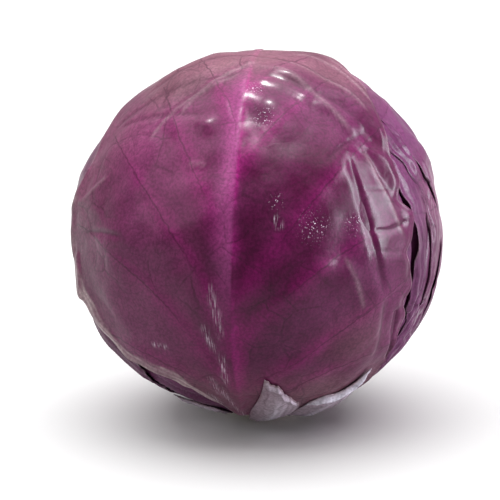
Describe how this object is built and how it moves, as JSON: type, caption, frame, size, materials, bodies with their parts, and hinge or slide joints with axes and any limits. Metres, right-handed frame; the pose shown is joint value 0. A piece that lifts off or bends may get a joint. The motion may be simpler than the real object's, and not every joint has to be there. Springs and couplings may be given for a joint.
{
  "type": "red cabbage head",
  "caption": "Round head of red cabbage: waxy overlapping wrapper leaves with raised veins around a tight inner head, on a cut stem.",
  "frame": {"origin": "centre of the flat cut face of the stem; the thin torn leaf bases around it reach about 3 mm lower", "axes": "+Z along the stem axis towards the crown, -Y towards the front wrapper leaf, +X to the right seen from the front"},
  "size_m": [0.1502, 0.1515, 0.1519],
  "materials": {
    "stem": "matt, fibrous, freshly cut",
    "inner_leaf": "waxy, semi-gloss",
    "side_leaf": "waxy bloom over semi-gloss",
    "front_leaf": "waxy, glossy with soft bloom",
    "torn_base": "matt, fibrous"
  },
  "bodies": {
    "root": {"stem_stump": "stem", "inner_head": "inner_leaf", "leaf_left_inner": "inner_leaf", "leaf_back_inner": "inner_leaf", "leaf_right_under": "side_leaf", "leaf_left_under": "side_leaf", "leaf_right_middle": "side_leaf", "leaf_right_outer": "side_leaf", "leaf_back": "side_leaf", "leaf_front": "front_leaf", "torn_base_front": "torn_base", "torn_base_right": "torn_base", "torn_base_left": "torn_base", "torn_base_back": "torn_base"}
  },
  "joints": []
}
